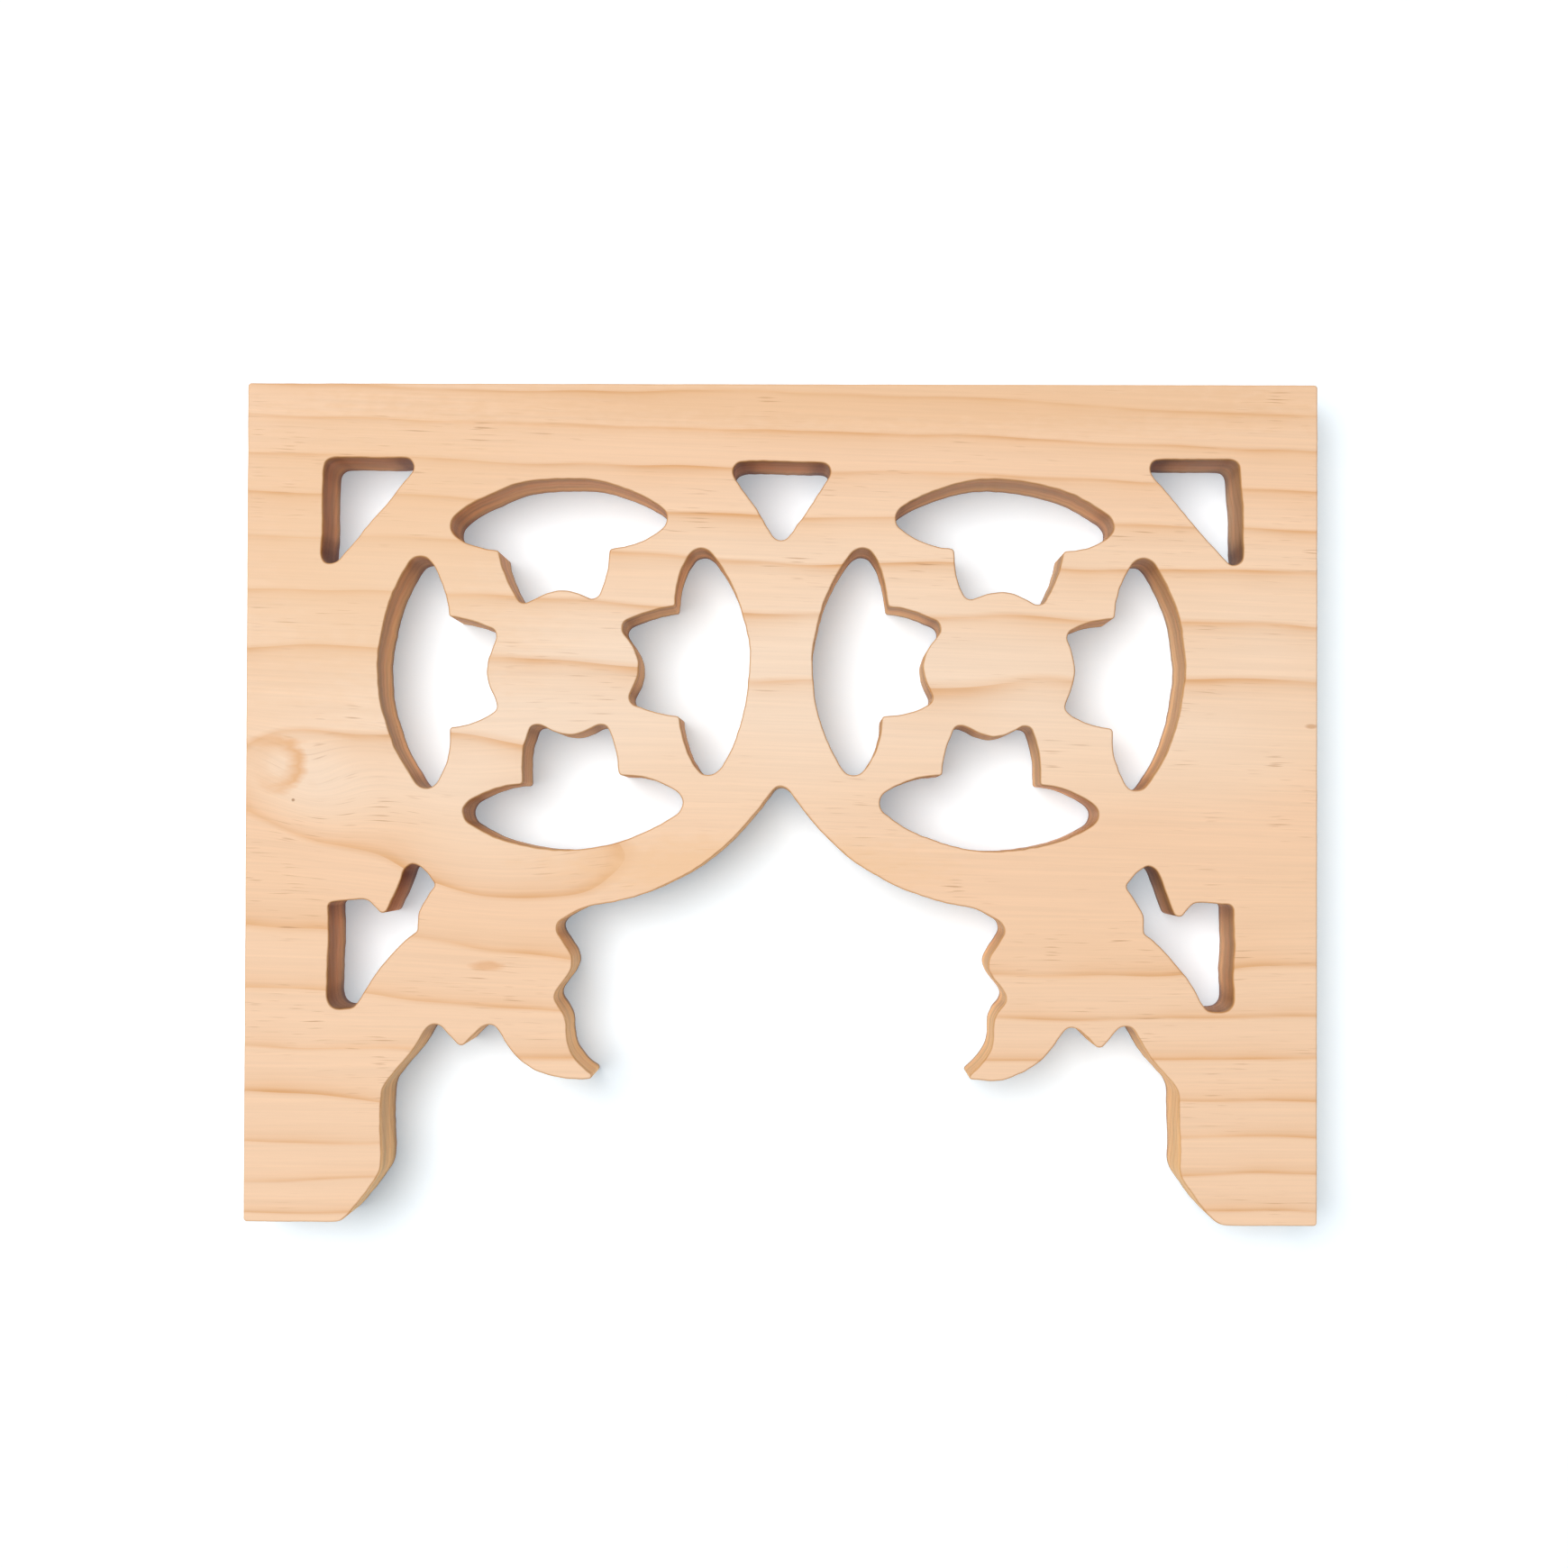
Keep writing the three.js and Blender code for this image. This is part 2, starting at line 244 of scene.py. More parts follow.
def wall_points(rim):
    """The rows of points of one wall, front to back."""
    outward = way_out(rim)
    first = wave(rim, *RIPPLE_WAVES)
    second = wave(rim, *RIPPLE_WAVES)
    rows = []
    for z, inset in edge_rows():
        share = (high[2] - z) / thickness
        ripple = RIPPLE * (first * np.cos(share * np.pi / 2) + second * np.sin(share * np.pi / 2))
        flat = rim + outward * (ripple * freedom(rim) - inset)[:, None]
        rows.append(np.column_stack([flat, np.full(len(flat), z)]))
    return rows


walls = [wall_points(rim) for rim in sawn_rims]
print(f"{len(walls)} walls, each of {len(walls[0])} rows of points")

# %% Join the rows into walls
vertices, faces, front_loops, back_loops = [], [], [], []
for rows in walls:
    count = len(rows[0])
    start = len(vertices)
    vertices.extend(point for row in rows for point in row)
    for r in range(len(rows) - 1):
        upper, lower = start + r * count, start + (r + 1) * count
        for i in range(count):
            j = (i + 1) % count
            faces.append((upper + i, lower + i, lower + j, upper + j))
    front_loops.append(list(range(start, start + count)))
    back_loops.append(list(range(len(vertices) - count, len(vertices))))
wall_faces = len(faces)
print(f"walls: {len(vertices)} points, {wall_faces} faces")

# %% [markdown]
# ## The two flat faces
#
# The front and the back are flat, so triangles between the rims are enough. A single face can't
# have holes in it. Blender's own Delaunay function fills everything within the outermost points
# and keeps every edge of the rims. Then the triangles that lie in an opening or outside the
# board are dropped.

# %% Fill the flat faces
WHOLE_HULL = 0
SAME_POINT_MM = 1e-6


def inside(spots, starts, ends):
    """Which spots lie in the wood: a line from them to the right crosses an odd number of rims."""
    odd = np.zeros(len(spots), dtype=bool)
    for (ax, ay), (bx, by) in zip(starts, ends):
        if ay != by:
            level = (ay > spots[:, 1]) != (by > spots[:, 1])
            odd ^= level & (spots[:, 0] < ax + (spots[:, 1] - ay) * (bx - ax) / (by - ay))
    return odd


def fill_face(loops, points, facing_up):
    """Triangles over a flat face, between the loops of point numbers round it."""
    order = [i for loop in loops for i in loop]
    local = {number: i for i, number in enumerate(order)}
    edges = [(local[a], local[b]) for loop in loops for a, b in zip(loop, loop[1:] + loop[:1])]
    flat = np.array([points[i][:2] for i in order]) / MM
    result = delaunay_2d_cdt([Vector(spot) for spot in flat], edges, [], WHOLE_HULL, SAME_POINT_MM)
    filled, sources = result[2], result[3]
    triangles = np.array([[sources[i][0] for i in face] for face in filled])
    starts, ends = flat[[a for a, _ in edges]], flat[[b for _, b in edges]]
    kept = triangles[inside(flat[triangles].mean(axis=1), starts, ends)]
    return [[order[i] for i in (face if facing_up else face[::-1])] for face in kept]


faces.extend(fill_face(front_loops, vertices, True))
faces.extend(fill_face(back_loops, vertices, False))
print(f"flat faces: {len(faces) - wall_faces} triangles")

# %% Build the board
board_mesh = bpy.data.meshes.new("pine_board")
board_mesh.from_pydata([tuple(vertex) for vertex in vertices], [], faces)
board_mesh.validate()
smooth = [i < wall_faces for i in range(len(board_mesh.polygons))]
board_mesh.polygons.foreach_set("use_smooth", smooth)
board = bpy.data.objects.new("pine_board", board_mesh)
bpy.context.collection.objects.link(board)
board_mesh.calc_loop_triangles()
print(f"board mesh: {len(vertices)} points, {len(board_mesh.loop_triangles)} triangles")

# %% [markdown]
# ## How the materials are written
#
# Blender's colours are linear light, while a colour picked from a picture is an sRGB hex value,
# so one function turns the second into the first. Another function starts a material, and one
# more adds a node, sets it up and feeds its sockets with numbers or with other nodes.
#
# Many sockets of a node share one name, so they are given by number. A Math node has 0, 1 and 2.
# MapRange takes 0 from the range between 1 and 2 to the range between 3 and 4. In a Mix of
# colours, 0 is the share of the second, and 6 and 7 are the two colours.

# %% Helpers for materials
def colour(code):
    """An sRGB hex colour as linear light, with full cover."""
    parts = [int(code[i:i + 2], 16) / 255 for i in (1, 3, 5)]
    return tuple(p / 12.92 if p <= 0.04045 else ((p + 0.055) / 1.055) ** 2.4 for p in parts) + (1,)


def empty_material(name):
    """A new material and its node tree, with no nodes in it yet."""
    material = bpy.data.materials.new(name)
    material.use_nodes = True
    material.node_tree.nodes.clear()
    return material, material.node_tree


def add_node(tree, kind, sockets=None, **settings):
    """Add a node, set it up, and feed its sockets with values, nodes or their outputs."""
    node = tree.nodes.new("ShaderNode" + kind)
    stops = settings.pop("stops", None)
    for name, value in settings.items():
        setattr(node, name, value)
    if stops:
        band = node.color_ramp
        while len(band.elements) < len(stops):
            band.elements.new(1)
        for element, (place, shade) in zip(band.elements, stops):
            element.position = place
            element.color = shade
    for name, value in (sockets or {}).items():
        if isinstance(value, bpy.types.Node):
            value = next(output for output in value.outputs if output.enabled)
        if isinstance(value, bpy.types.NodeSocket):
            tree.links.new(value, node.inputs[name])
        else:
            node.inputs[name].default_value = value
    return node


print(f"the grey #808080 is {colour('#808080')[0]:.3f} of white in linear light")

# %% [markdown]
# ## Radiata pine, planed and unvarnished
#
# The board is plain-sawn radiata pine: pale, slightly pink springwood with a thin orange-tan
# latewood line at the end of each year's growth. A picture of wood could be wrapped round the
# board, but its lines would break at every edge. So the wood is worked out in the solid, in
# millimetres: the lines of the face carry on down the sawn walls. A noise makes it uneven, and
# it is stretched by the length of its lumps along each axis.

# %% Start the pine
# Nearly all values of a noise lie between these two.
NOISE_LOW, NOISE_HIGH = 0.3, 0.7


def lumps(x, y, z):
    """The Mapping scale that gives a noise lumps of these lengths in millimetres."""
    return (1 / x, 1 / y, 1 / z)


pine, tree = empty_material("radiata_pine")
where = add_node(tree, "TexCoord").outputs["Object"]
in_mm = add_node(tree, "VectorMath", {0: where, "Scale": 1 / MM}, operation="SCALE")
x_mm, y_mm, z_mm = add_node(tree, "SeparateXYZ", {0: in_mm}).outputs
print(f"{pine.name} reads its place in millimetres")

# %% [markdown]
# ### The year rings
#
# The rings are tubes round the tree's pith, which ran along the board 155 mm below its face, so
# their lines lie far apart in the middle and close up towards both edges. The saw ran a little
# askew to the tree, so the lines of the upper half fall as they go right. Two slow noises bend
# them.

# %% Measure from the pith
PITH_BELOW_FACE_MM = 155
ASKEW = 0.032
# The askew cut starts this far below the middle of the board and is full at the middle.
ASKEW_START_MM, ASKEW_FULL_MM = -90, 0
# How far each noise pushes a ring, and the length of its lumps.
BENDS_MM = [(5, (190, 60, 60)), (3.2, (60, 28, 28))]

upper_half = add_node(tree, "MapRange", {
    0: y_mm, 1: ASKEW_START_MM, 2: ASKEW_FULL_MM, 3: 0, 4: ASKEW})
across = add_node(tree, "Math", {0: x_mm, 1: upper_half, 2: y_mm}, operation="MULTIPLY_ADD")
upward = add_node(tree, "Math", {0: z_mm, 1: PITH_BELOW_FACE_MM - thickness / MM},
                  operation="ADD")
spoke = add_node(tree, "CombineXYZ", {0: across, 1: upward})
from_pith = add_node(tree, "VectorMath", {0: spoke}, operation="LENGTH")
for push, lump in BENDS_MM:
    stretched = add_node(tree, "Mapping", {"Vector": in_mm, "Scale": lumps(*lump)})
    noise = add_node(tree, "TexNoise", {"Vector": stretched, "Scale": 1, "Detail": 1})
    centred = add_node(tree, "Math", {0: noise, 1: 0.5}, operation="SUBTRACT")
    from_pith = add_node(tree, "Math", {0: centred, 1: push, 2: from_pith},
                         operation="MULTIPLY_ADD")
print(f"pith {PITH_BELOW_FACE_MM} mm below the face, rings bent by {len(BENDS_MM)} noises")

# %% [markdown]
# A branch just under the face, left of the middle, made the tree swell there, and the plane cut
# the swelling open: one ring closes into a long loop. Two soft bumps, one behind the other, give
# the loop its leaning shape. A third, wide bump sets the lines of the lower right further apart.
# The fibres flow round the bumps too, so they get a place of their own.

# %% Let the wood swell
# Each swelling's middle, its reach, its turn in degrees and how far it pushes the rings out.
SWELLINGS_MM = [
    ((-103.5, -9.8, 42), (47.4, 31.5, 50), -28.6, 6.3),
    ((-163, 5.8, 42), (19, 13.4, 40), -33.7, 7),
    ((80, -54, 42), (150, 26, 60), 0, 4.7),
]
# How far the fibres shift across the grain for each millimetre that the rings are pushed.
FLOW = 1.3

pushed = 0
for middle, reach, turn, push in SWELLINGS_MM:
    local = add_node(tree, "Mapping", {
        "Vector": in_mm, "Location": middle, "Rotation": (0, 0, np.radians(turn)),
        "Scale": reach}, vector_type="TEXTURE")
    far = add_node(tree, "VectorMath", {0: local, 1: local}, operation="DOT_PRODUCT")
    minus_far = add_node(tree, "Math", {0: far, 1: -1}, operation="MULTIPLY")
    swelling = add_node(tree, "Math", {0: minus_far}, operation="EXPONENT")
    pushed = add_node(tree, "Math", {0: swelling, 1: push, 2: pushed}, operation="MULTIPLY_ADD")
from_pith = add_node(tree, "Math", {0: from_pith, 1: pushed}, operation="SUBTRACT")
flow = add_node(tree, "Math", {0: pushed, 1: FLOW, 2: across}, operation="MULTIPLY_ADD")
with_grain = add_node(tree, "CombineXYZ", {0: x_mm, 1: flow, 2: z_mm})
print("swellings, mm:", [push for *_, push in SWELLINGS_MM])

# %% [markdown]
# The distance from the pith, divided by the width of a year's growth, counts the rings. The part
# of the count after the decimal point runs from 0 in spring to 1 in autumn, when the dark
# latewood ends sharply, and the whole part numbers the year.

# %% Count the rings
RING_MM = 8
FIRST_LINE_MM = 161.5

from_line = add_node(tree, "Math", {0: from_pith, 1: FIRST_LINE_MM}, operation="SUBTRACT")
rings = add_node(tree, "Math", {0: from_line, 1: RING_MM}, operation="DIVIDE")
season = add_node(tree, "Math", {0: rings}, operation="FRACT")
year = add_node(tree, "Math", {0: rings}, operation="FLOOR")
line_radii = FIRST_LINE_MM + RING_MM * np.arange(7)
line_places = np.sqrt(line_radii ** 2 - PITH_BELOW_FACE_MM ** 2)
print("ring lines, mm from the middle:", ", ".join(f"{place:.0f}" for place in line_places))

# %% [markdown]
# ### From the season to a colour
#
# Spring wood is the pale ground. It warms slowly through summer and ends in the latewood line.
# No two years are alike, so each line's strength changes from year to year and along the board.

# %% Draw the latewood lines
# How dark the wood is at each part of the year, from the pale ground at 0 to the line at 1.
DARK_BY_SEASON = [(0.0, 0.6), (0.07, 0), (0.45, 0), (0.75, 0.16), (0.9, 0.42), (0.98, 1)]
YEAR_LUMP_MM = 90
YEAR_NOISE_SCALE = 1.7
YEAR_NOISE_SLICE = 4.7
YEAR_STRENGTHS = (0.15, 1.05)

latewood = add_node(tree, "ValToRGB", {0: season}, stops=[
    (place, (dark, dark, dark, 1)) for place, dark in DARK_BY_SEASON])
along_year = add_node(tree, "Math", {0: x_mm, 1: 1 / YEAR_LUMP_MM}, operation="MULTIPLY")
year_place = add_node(tree, "CombineXYZ", {0: along_year, 1: year, 2: YEAR_NOISE_SLICE})
year_noise = add_node(tree, "TexNoise", {
    "Vector": year_place, "Scale": YEAR_NOISE_SCALE, "Detail": 2})
year_strength = add_node(tree, "MapRange", {
    0: year_noise, 1: NOISE_LOW, 2: NOISE_HIGH, 3: YEAR_STRENGTHS[0], 4: YEAR_STRENGTHS[1]})
line = add_node(tree, "Math", {0: latewood, 1: year_strength}, operation="MULTIPLY")
print(f"a line has {YEAR_STRENGTHS[0]} to {YEAR_STRENGTHS[1]} of its full strength")

# %% [markdown]
# The ground itself is palest in a wide patch over the rosettes and inside the loop, and warmest
# above and below them.

# %% Colour the ground
PALE_UP_MM = 47
PALE_REACH_MM = (520, 132, 1000)
PALE_IN_LOOP = -0.03
TINT_LUMPS_MM = (120, 45, 45)
TINT_LOW, TINT_HIGH = 0.25, 0.75
TINT_SHIFT = 0.1
# The ground's colour, from the middle of the pale patch outwards.
GROUND = [(0.12, "#efd3b8"), (0.36, "#eecbaa"), (0.5, "#edc5a1"), (0.65, "#ecc49f"),
          (0.85, "#edc7a4")]
LATEWOOD_COLOUR = "#d9a067"

from_middle = add_node(tree, "Mapping", {
    "Vector": in_mm, "Location": (0, PALE_UP_MM, 0), "Scale": PALE_REACH_MM},
    vector_type="TEXTURE")
from_middle = add_node(tree, "VectorMath", {0: from_middle}, operation="LENGTH")
tint_place = add_node(tree, "Mapping", {"Vector": in_mm, "Scale": lumps(*TINT_LUMPS_MM)})
tint = add_node(tree, "TexNoise", {"Vector": tint_place, "Scale": 1, "Detail": 2})
warmth = add_node(tree, "MapRange", {
    0: tint, 1: TINT_LOW, 2: TINT_HIGH, 3: -TINT_SHIFT, 4: TINT_SHIFT})
warmth = add_node(tree, "Math", {0: from_middle, 1: warmth}, operation="ADD")
warmth = add_node(tree, "Math", {0: pushed, 1: PALE_IN_LOOP, 2: warmth},
                  operation="MULTIPLY_ADD")
ground = add_node(tree, "ValToRGB", {0: warmth}, stops=[
    (place, colour(code)) for place, code in GROUND])
ringed = add_node(tree, "Mix", {0: line, 6: ground, 7: colour(LATEWOOD_COLOUR)},
                  data_type="RGBA")
print(f"ground from {GROUND[0][1]} to {GROUND[-1][1]}, lines {LATEWOOD_COLOUR}")

# %% [markdown]
# ### Fibres and resin canals
#
# Pine's fibres are too fine to see one by one, so they show as faint streaks along the grain,
# half a millimetre to two millimetres wide. The resin canals show as short brown dashes, a third
# of a millimetre thick and some 3 to 10 mm long, gathered in loose groups. Both lie along the
# grain, which dips a little where it flows round the swelling.

# %% Add the fibres
# Each kind of streak: the length of its lumps and how much it lightens or darkens the wood.
FIBRES = [((45, 0.8, 0.8), 0.032), ((120, 2.6, 2.6), 0.013)]

shades = []
for lump, contrast in FIBRES:
    stretched = add_node(tree, "Mapping", {"Vector": with_grain, "Scale": lumps(*lump)})
    fibre = add_node(tree, "TexNoise", {"Vector": stretched, "Scale": 1, "Detail": 2})
    shades.append(add_node(tree, "MapRange", {
        0: fibre, 1: NOISE_LOW, 2: NOISE_HIGH, 3: 1 - contrast, 4: 1 + contrast}))
fibre_shade = add_node(tree, "Math", {0: shades[0], 1: shades[1]}, operation="MULTIPLY")
streaked = add_node(tree, "VectorMath", {0: ringed, "Scale": fibre_shade}, operation="SCALE")
print(f"{len(FIBRES)} kinds of fibre streaks")

# %% Add the resin canals
CANAL_LUMPS_MM = (11, 0.6, 0.6)
CANAL_START, CANAL_FULL = 0.68, 0.85
GROUP_LUMPS_MM = (40, 18, 18)
GROUP_START, GROUP_FULL = 0.47, 0.68
CANAL_SHARE = 0.68
CANAL_COLOUR = "#b07f52"

canal_place = add_node(tree, "Mapping", {"Vector": with_grain, "Scale": lumps(*CANAL_LUMPS_MM)})
canal_noise = add_node(tree, "TexNoise", {"Vector": canal_place, "Scale": 1, "Detail": 0})
canal = add_node(tree, "MapRange", {0: canal_noise, 1: CANAL_START, 2: CANAL_FULL, 3: 0, 4: 1})
group_place = add_node(tree, "Mapping", {"Vector": in_mm, "Scale": lumps(*GROUP_LUMPS_MM)})
group_noise = add_node(tree, "TexNoise", {"Vector": group_place, "Scale": 1, "Detail": 1})
group = add_node(tree, "MapRange", {
    0: group_noise, 1: GROUP_START, 2: GROUP_FULL, 3: 0, 4: CANAL_SHARE})
canal_strength = add_node(tree, "Math", {0: canal, 1: group}, operation="MULTIPLY")
dashed = add_node(tree, "Mix", {0: canal_strength, 6: streaked, 7: colour(CANAL_COLOUR)},
                  data_type="RGBA")
print(f"resin canals {CANAL_COLOUR}, in groups about {GROUP_LUMPS_MM[0]} mm long")

# %% [markdown]
# ### The swirl over the knot
#
# The branch ended just below the face near the left edge. Over it the grain closes into a swirl,
# about 16 mm across, with an orange stain that is ragged where the fibres part. The stain is a
# ring, stronger on the right, whose distance from the middle is roughened by a noise.

# %% Stain the swirl
SWIRL_MIDDLE_MM = (-174.5, 13, 42)
SWIRL_REACH_MM = (9, 9, 14)
SWIRL_COLOUR = "#dfa873"
RAGGED_LUMPS_MM = (6, 2.2, 2.2)
SWIRL_RAGGED = 0.5
# Where the ring rises and falls, in reaches from its middle.
SWIRL_RISES, SWIRL_FALLS = (0.55, 1.1), (1.15, 1.5)
SWIRL_CENTRE_SHARE = 0.05
# Where its left and right sides lie, in reaches, and the ring's strength there.
SWIRL_SIDES, SWIRL_SIDE_SHARES = (-0.9, 0.7), (0.1, 0.85)

swirl = add_node(tree, "Mapping", {"Vector": in_mm, "Location": SWIRL_MIDDLE_MM,
                                   "Scale": SWIRL_REACH_MM}, vector_type="TEXTURE")
swirl_far = add_node(tree, "VectorMath", {0: swirl}, operation="LENGTH")
ragged_place = add_node(tree, "Mapping", {"Vector": in_mm, "Scale": lumps(*RAGGED_LUMPS_MM)})
ragged = add_node(tree, "TexNoise", {"Vector": ragged_place, "Scale": 1, "Detail": 2})
swirl_far = add_node(tree, "Math", {0: ragged, 1: SWIRL_RAGGED, 2: swirl_far},
                     operation="MULTIPLY_ADD")
swirl_start = add_node(tree, "MapRange", {
    0: swirl_far, 1: SWIRL_RISES[0], 2: SWIRL_RISES[1], 3: SWIRL_CENTRE_SHARE, 4: 1})
swirl_end = add_node(tree, "MapRange", {
    0: swirl_far, 1: SWIRL_FALLS[0], 2: SWIRL_FALLS[1], 3: 1, 4: 0})
swirl_x = add_node(tree, "SeparateXYZ", {0: swirl}).outputs[0]
swirl_side = add_node(tree, "MapRange", {
    0: swirl_x, 1: SWIRL_SIDES[0], 2: SWIRL_SIDES[1],
    3: SWIRL_SIDE_SHARES[0], 4: SWIRL_SIDE_SHARES[1]})
stain = add_node(tree, "Math", {0: swirl_start, 1: swirl_end}, operation="MULTIPLY")
stain = add_node(tree, "Math", {0: stain, 1: swirl_side}, operation="MULTIPLY")
stained = add_node(tree, "Mix", {0: stain, 6: dashed, 7: colour(SWIRL_COLOUR)},
                   data_type="RGBA")
print(f"swirl stained {SWIRL_COLOUR}, with a reach of {SWIRL_REACH_MM[0]} mm")

# %% [markdown]
# ### Smaller stains
#
# A few smaller stains lie about the board: a pinhole of bark, a patch of resin, two faint
# touches, and wide warm patches along the arch, at the upper left and along the top edge. Each
# is a soft ball of colour in the solid, with the same ragged edge as the swirl.

# %% Add the small stains
SPOT_RAGGED = 0.8
SPOT_FADES, SPOT_GONE = 0.8, 1.4
# Each small stain's middle and reach in millimetres, its strength and its colour.
SMALL_STAINS = [
    ((-168.6, 0.6, 42), (0.7, 0.7, 6), 0.8, "#9c6f47"),
    ((-101, -56.5, 42), (7, 2.4, 8), 0.55, "#d89c64"),
    ((183, 27, 42), (2.5, 1.0, 6), 0.6, "#c08a58"),
    ((-176, 21, 42), (12, 2.5, 8), 0.35, "#dfa873"),
    ((-12, -22, 42), (80, 13, 30), 0.7, "#ebbf92"),
    ((-140, 85, 42), (75, 60, 60), 0.4, "#e8bd90"),
    ((50, 139, 42), (230, 13, 20), 0.4, "#dfae7c"),
]

for middle, reach, strength, stain_colour in SMALL_STAINS:
    spot = add_node(tree, "Mapping", {"Vector": in_mm, "Location": middle, "Scale": reach},
                    vector_type="TEXTURE")
    spot_far = add_node(tree, "VectorMath", {0: spot}, operation="LENGTH")
    spot_far = add_node(tree, "Math", {0: ragged, 1: SPOT_RAGGED, 2: spot_far},
                        operation="MULTIPLY_ADD")
    spot_stain = add_node(tree, "MapRange", {
        0: spot_far, 1: SPOT_FADES, 2: SPOT_GONE, 3: strength, 4: 0})
    stained = add_node(tree, "Mix", {0: spot_stain, 6: stained, 7: colour(stain_colour)},
                       data_type="RGBA")
print(f"{len(SMALL_STAINS)} small stains")

# %% [markdown]
# ### Sawn walls
#
# A sawn wall is a deeper, warmer tan than a planed face: its fibres are torn open, and the blade
# rubbed it hot. How far the surface turns away from the flat faces tells the walls from them.
# The board's own outer sides were planed like the face, so a strip along them keeps nearly its
# colour.

# %% Find the sawn walls
# The flatness at which a surface starts to be wall, and at which it is all wall.
WALL_START, WALL_FULL = 0.97, 0.5
PLANED_SHARE = 0.65
# The strip fades in between these depths under the board's outer sides.
STRIP_STARTS_MM, STRIP_FULL_MM = 1.0, 0.7

facing = add_node(tree, "TexCoord").outputs["Normal"]
facing_z = add_node(tree, "SeparateXYZ", {0: facing}).outputs[2]
flatness = add_node(tree, "Math", {0: facing_z}, operation="ABSOLUTE")
wall = add_node(tree, "MapRange", {0: flatness, 1: WALL_START, 2: WALL_FULL, 3: 0, 4: 1})
planed = 0
for place_mm, half_mm in [(x_mm, width / 2 / MM), (y_mm, height / 2 / MM)]:
    off_middle = add_node(tree, "Math", {0: place_mm}, operation="ABSOLUTE")
    at_side = add_node(tree, "MapRange", {
        0: off_middle, 1: half_mm - STRIP_STARTS_MM, 2: half_mm - STRIP_FULL_MM,
        3: 0, 4: PLANED_SHARE})
    planed = add_node(tree, "Math", {0: at_side, 1: planed}, operation="MAXIMUM")
rough_share = add_node(tree, "Math", {0: 1, 1: planed}, operation="SUBTRACT")
sawn = add_node(tree, "Math", {0: wall, 1: rough_share}, operation="MULTIPLY")
print(f"the planed sides are {1 - PLANED_SHARE:.0%} as tan as a sawn wall")

# %% [markdown]
# Broad streaks run round a wall, level with the face, where the rasp was drawn along. Painted
# shade darkens the walls in the tight corners and along their foot, and an ambient occlusion
# node finds the corners by how little of their surroundings is open.

# %% Tint the walls and paint their shade
RASP_LUMPS_MM = (55, 55, 13)
RASP_SHADES = (0.8, 1.28)
CORNER_SHADE_REACH = 12 * MM
CORNER_SHADE_SAMPLES = 6
# The openness at which a corner gets the full painted shade, and at which it gets none.
CORNER_SHADE_FULL, CORNER_SHADE_NONE = 0.35, 0.82
FOOT_SHADE_MM = 8
FOOT_SHADE_SHARE = 0.4
# Both tints multiply the colour of the wood under them; the second is painted shade.
WALL_TINT = "#ffe9ae"
PAINTED_SHADE_TINT = "#85562c"

rasp_place = add_node(tree, "Mapping", {"Vector": in_mm, "Scale": lumps(*RASP_LUMPS_MM)})
rasp = add_node(tree, "TexNoise", {"Vector": rasp_place, "Scale": 1, "Detail": 2.5})
rasp_shade = add_node(tree, "MapRange", {
    0: rasp, 1: NOISE_LOW, 2: NOISE_HIGH, 3: RASP_SHADES[0], 4: RASP_SHADES[1]})
# Painted shade: the walls are darkened in tight corners, where little around them is open.
openness = add_node(tree, "AmbientOcclusion", {"Distance": CORNER_SHADE_REACH}, samples=CORNER_SHADE_SAMPLES)
corner_shade = add_node(tree, "MapRange", {
    0: openness.outputs["AO"], 1: CORNER_SHADE_FULL, 2: CORNER_SHADE_NONE, 3: 1, 4: 0})
# Painted shade: the walls are darkened towards their foot, where they meet the sheet.
foot_shade = add_node(tree, "MapRange", {0: z_mm, 1: 0, 2: FOOT_SHADE_MM, 3: FOOT_SHADE_SHARE, 4: 0})
painted_shade = add_node(tree, "Math", {0: corner_shade, 1: foot_shade}, operation="MAXIMUM")
wall_tint = add_node(tree, "Mix", {0: 1.0, 6: stained, 7: colour(WALL_TINT)},
                     data_type="RGBA", blend_type="MULTIPLY")
# The painted shade is multiplied into the wall colour here.
wall_with_painted_shade = add_node(tree, "Mix", {0: painted_shade, 6: wall_tint, 7: colour(PAINTED_SHADE_TINT)},
                 data_type="RGBA", blend_type="MULTIPLY")
rasped = add_node(tree, "VectorMath", {0: wall_with_painted_shade, "Scale": rasp_shade}, operation="SCALE")
wood_colour = add_node(tree, "Mix", {0: sawn, 6: stained, 7: rasped}, data_type="RGBA")
print(f"walls tinted {WALL_TINT}, dust {PAINTED_SHADE_TINT} up to {FOOT_SHADE_MM} mm from the foot")

# %% [markdown]
# The eased edge between face and wall gets a thin brown line of painted shade, as if its small
# round turned from the light. It is what is neither quite flat nor quite upright.

# %% Paint shade on the eased edges
# The flatness at which the edge starts and is full, coming from the face and from the wall.
OFF_FACE, OFF_WALL = (0.99, 0.9), (0.12, 0.35)
EDGE_SHADE_SHARE = 0.5
EDGE_SHADE_COLOUR = "#b98455"

off_face = add_node(tree, "MapRange", {0: flatness, 1: OFF_FACE[0], 2: OFF_FACE[1], 3: 0, 4: 1})
off_wall = add_node(tree, "MapRange", {
    0: flatness, 1: OFF_WALL[0], 2: OFF_WALL[1], 3: 0, 4: EDGE_SHADE_SHARE})
# Painted shade: a thin brown line along every eased edge.
eased = add_node(tree, "Math", {0: off_face, 1: off_wall}, operation="MULTIPLY")
eased = add_node(tree, "Math", {0: eased, 1: rough_share}, operation="MULTIPLY")
wood_colour = add_node(tree, "Mix", {0: eased, 6: wood_colour, 7: colour(EDGE_SHADE_COLOUR)},
                       data_type="RGBA")
print(f"eased edges {EDGE_SHADE_COLOUR}")

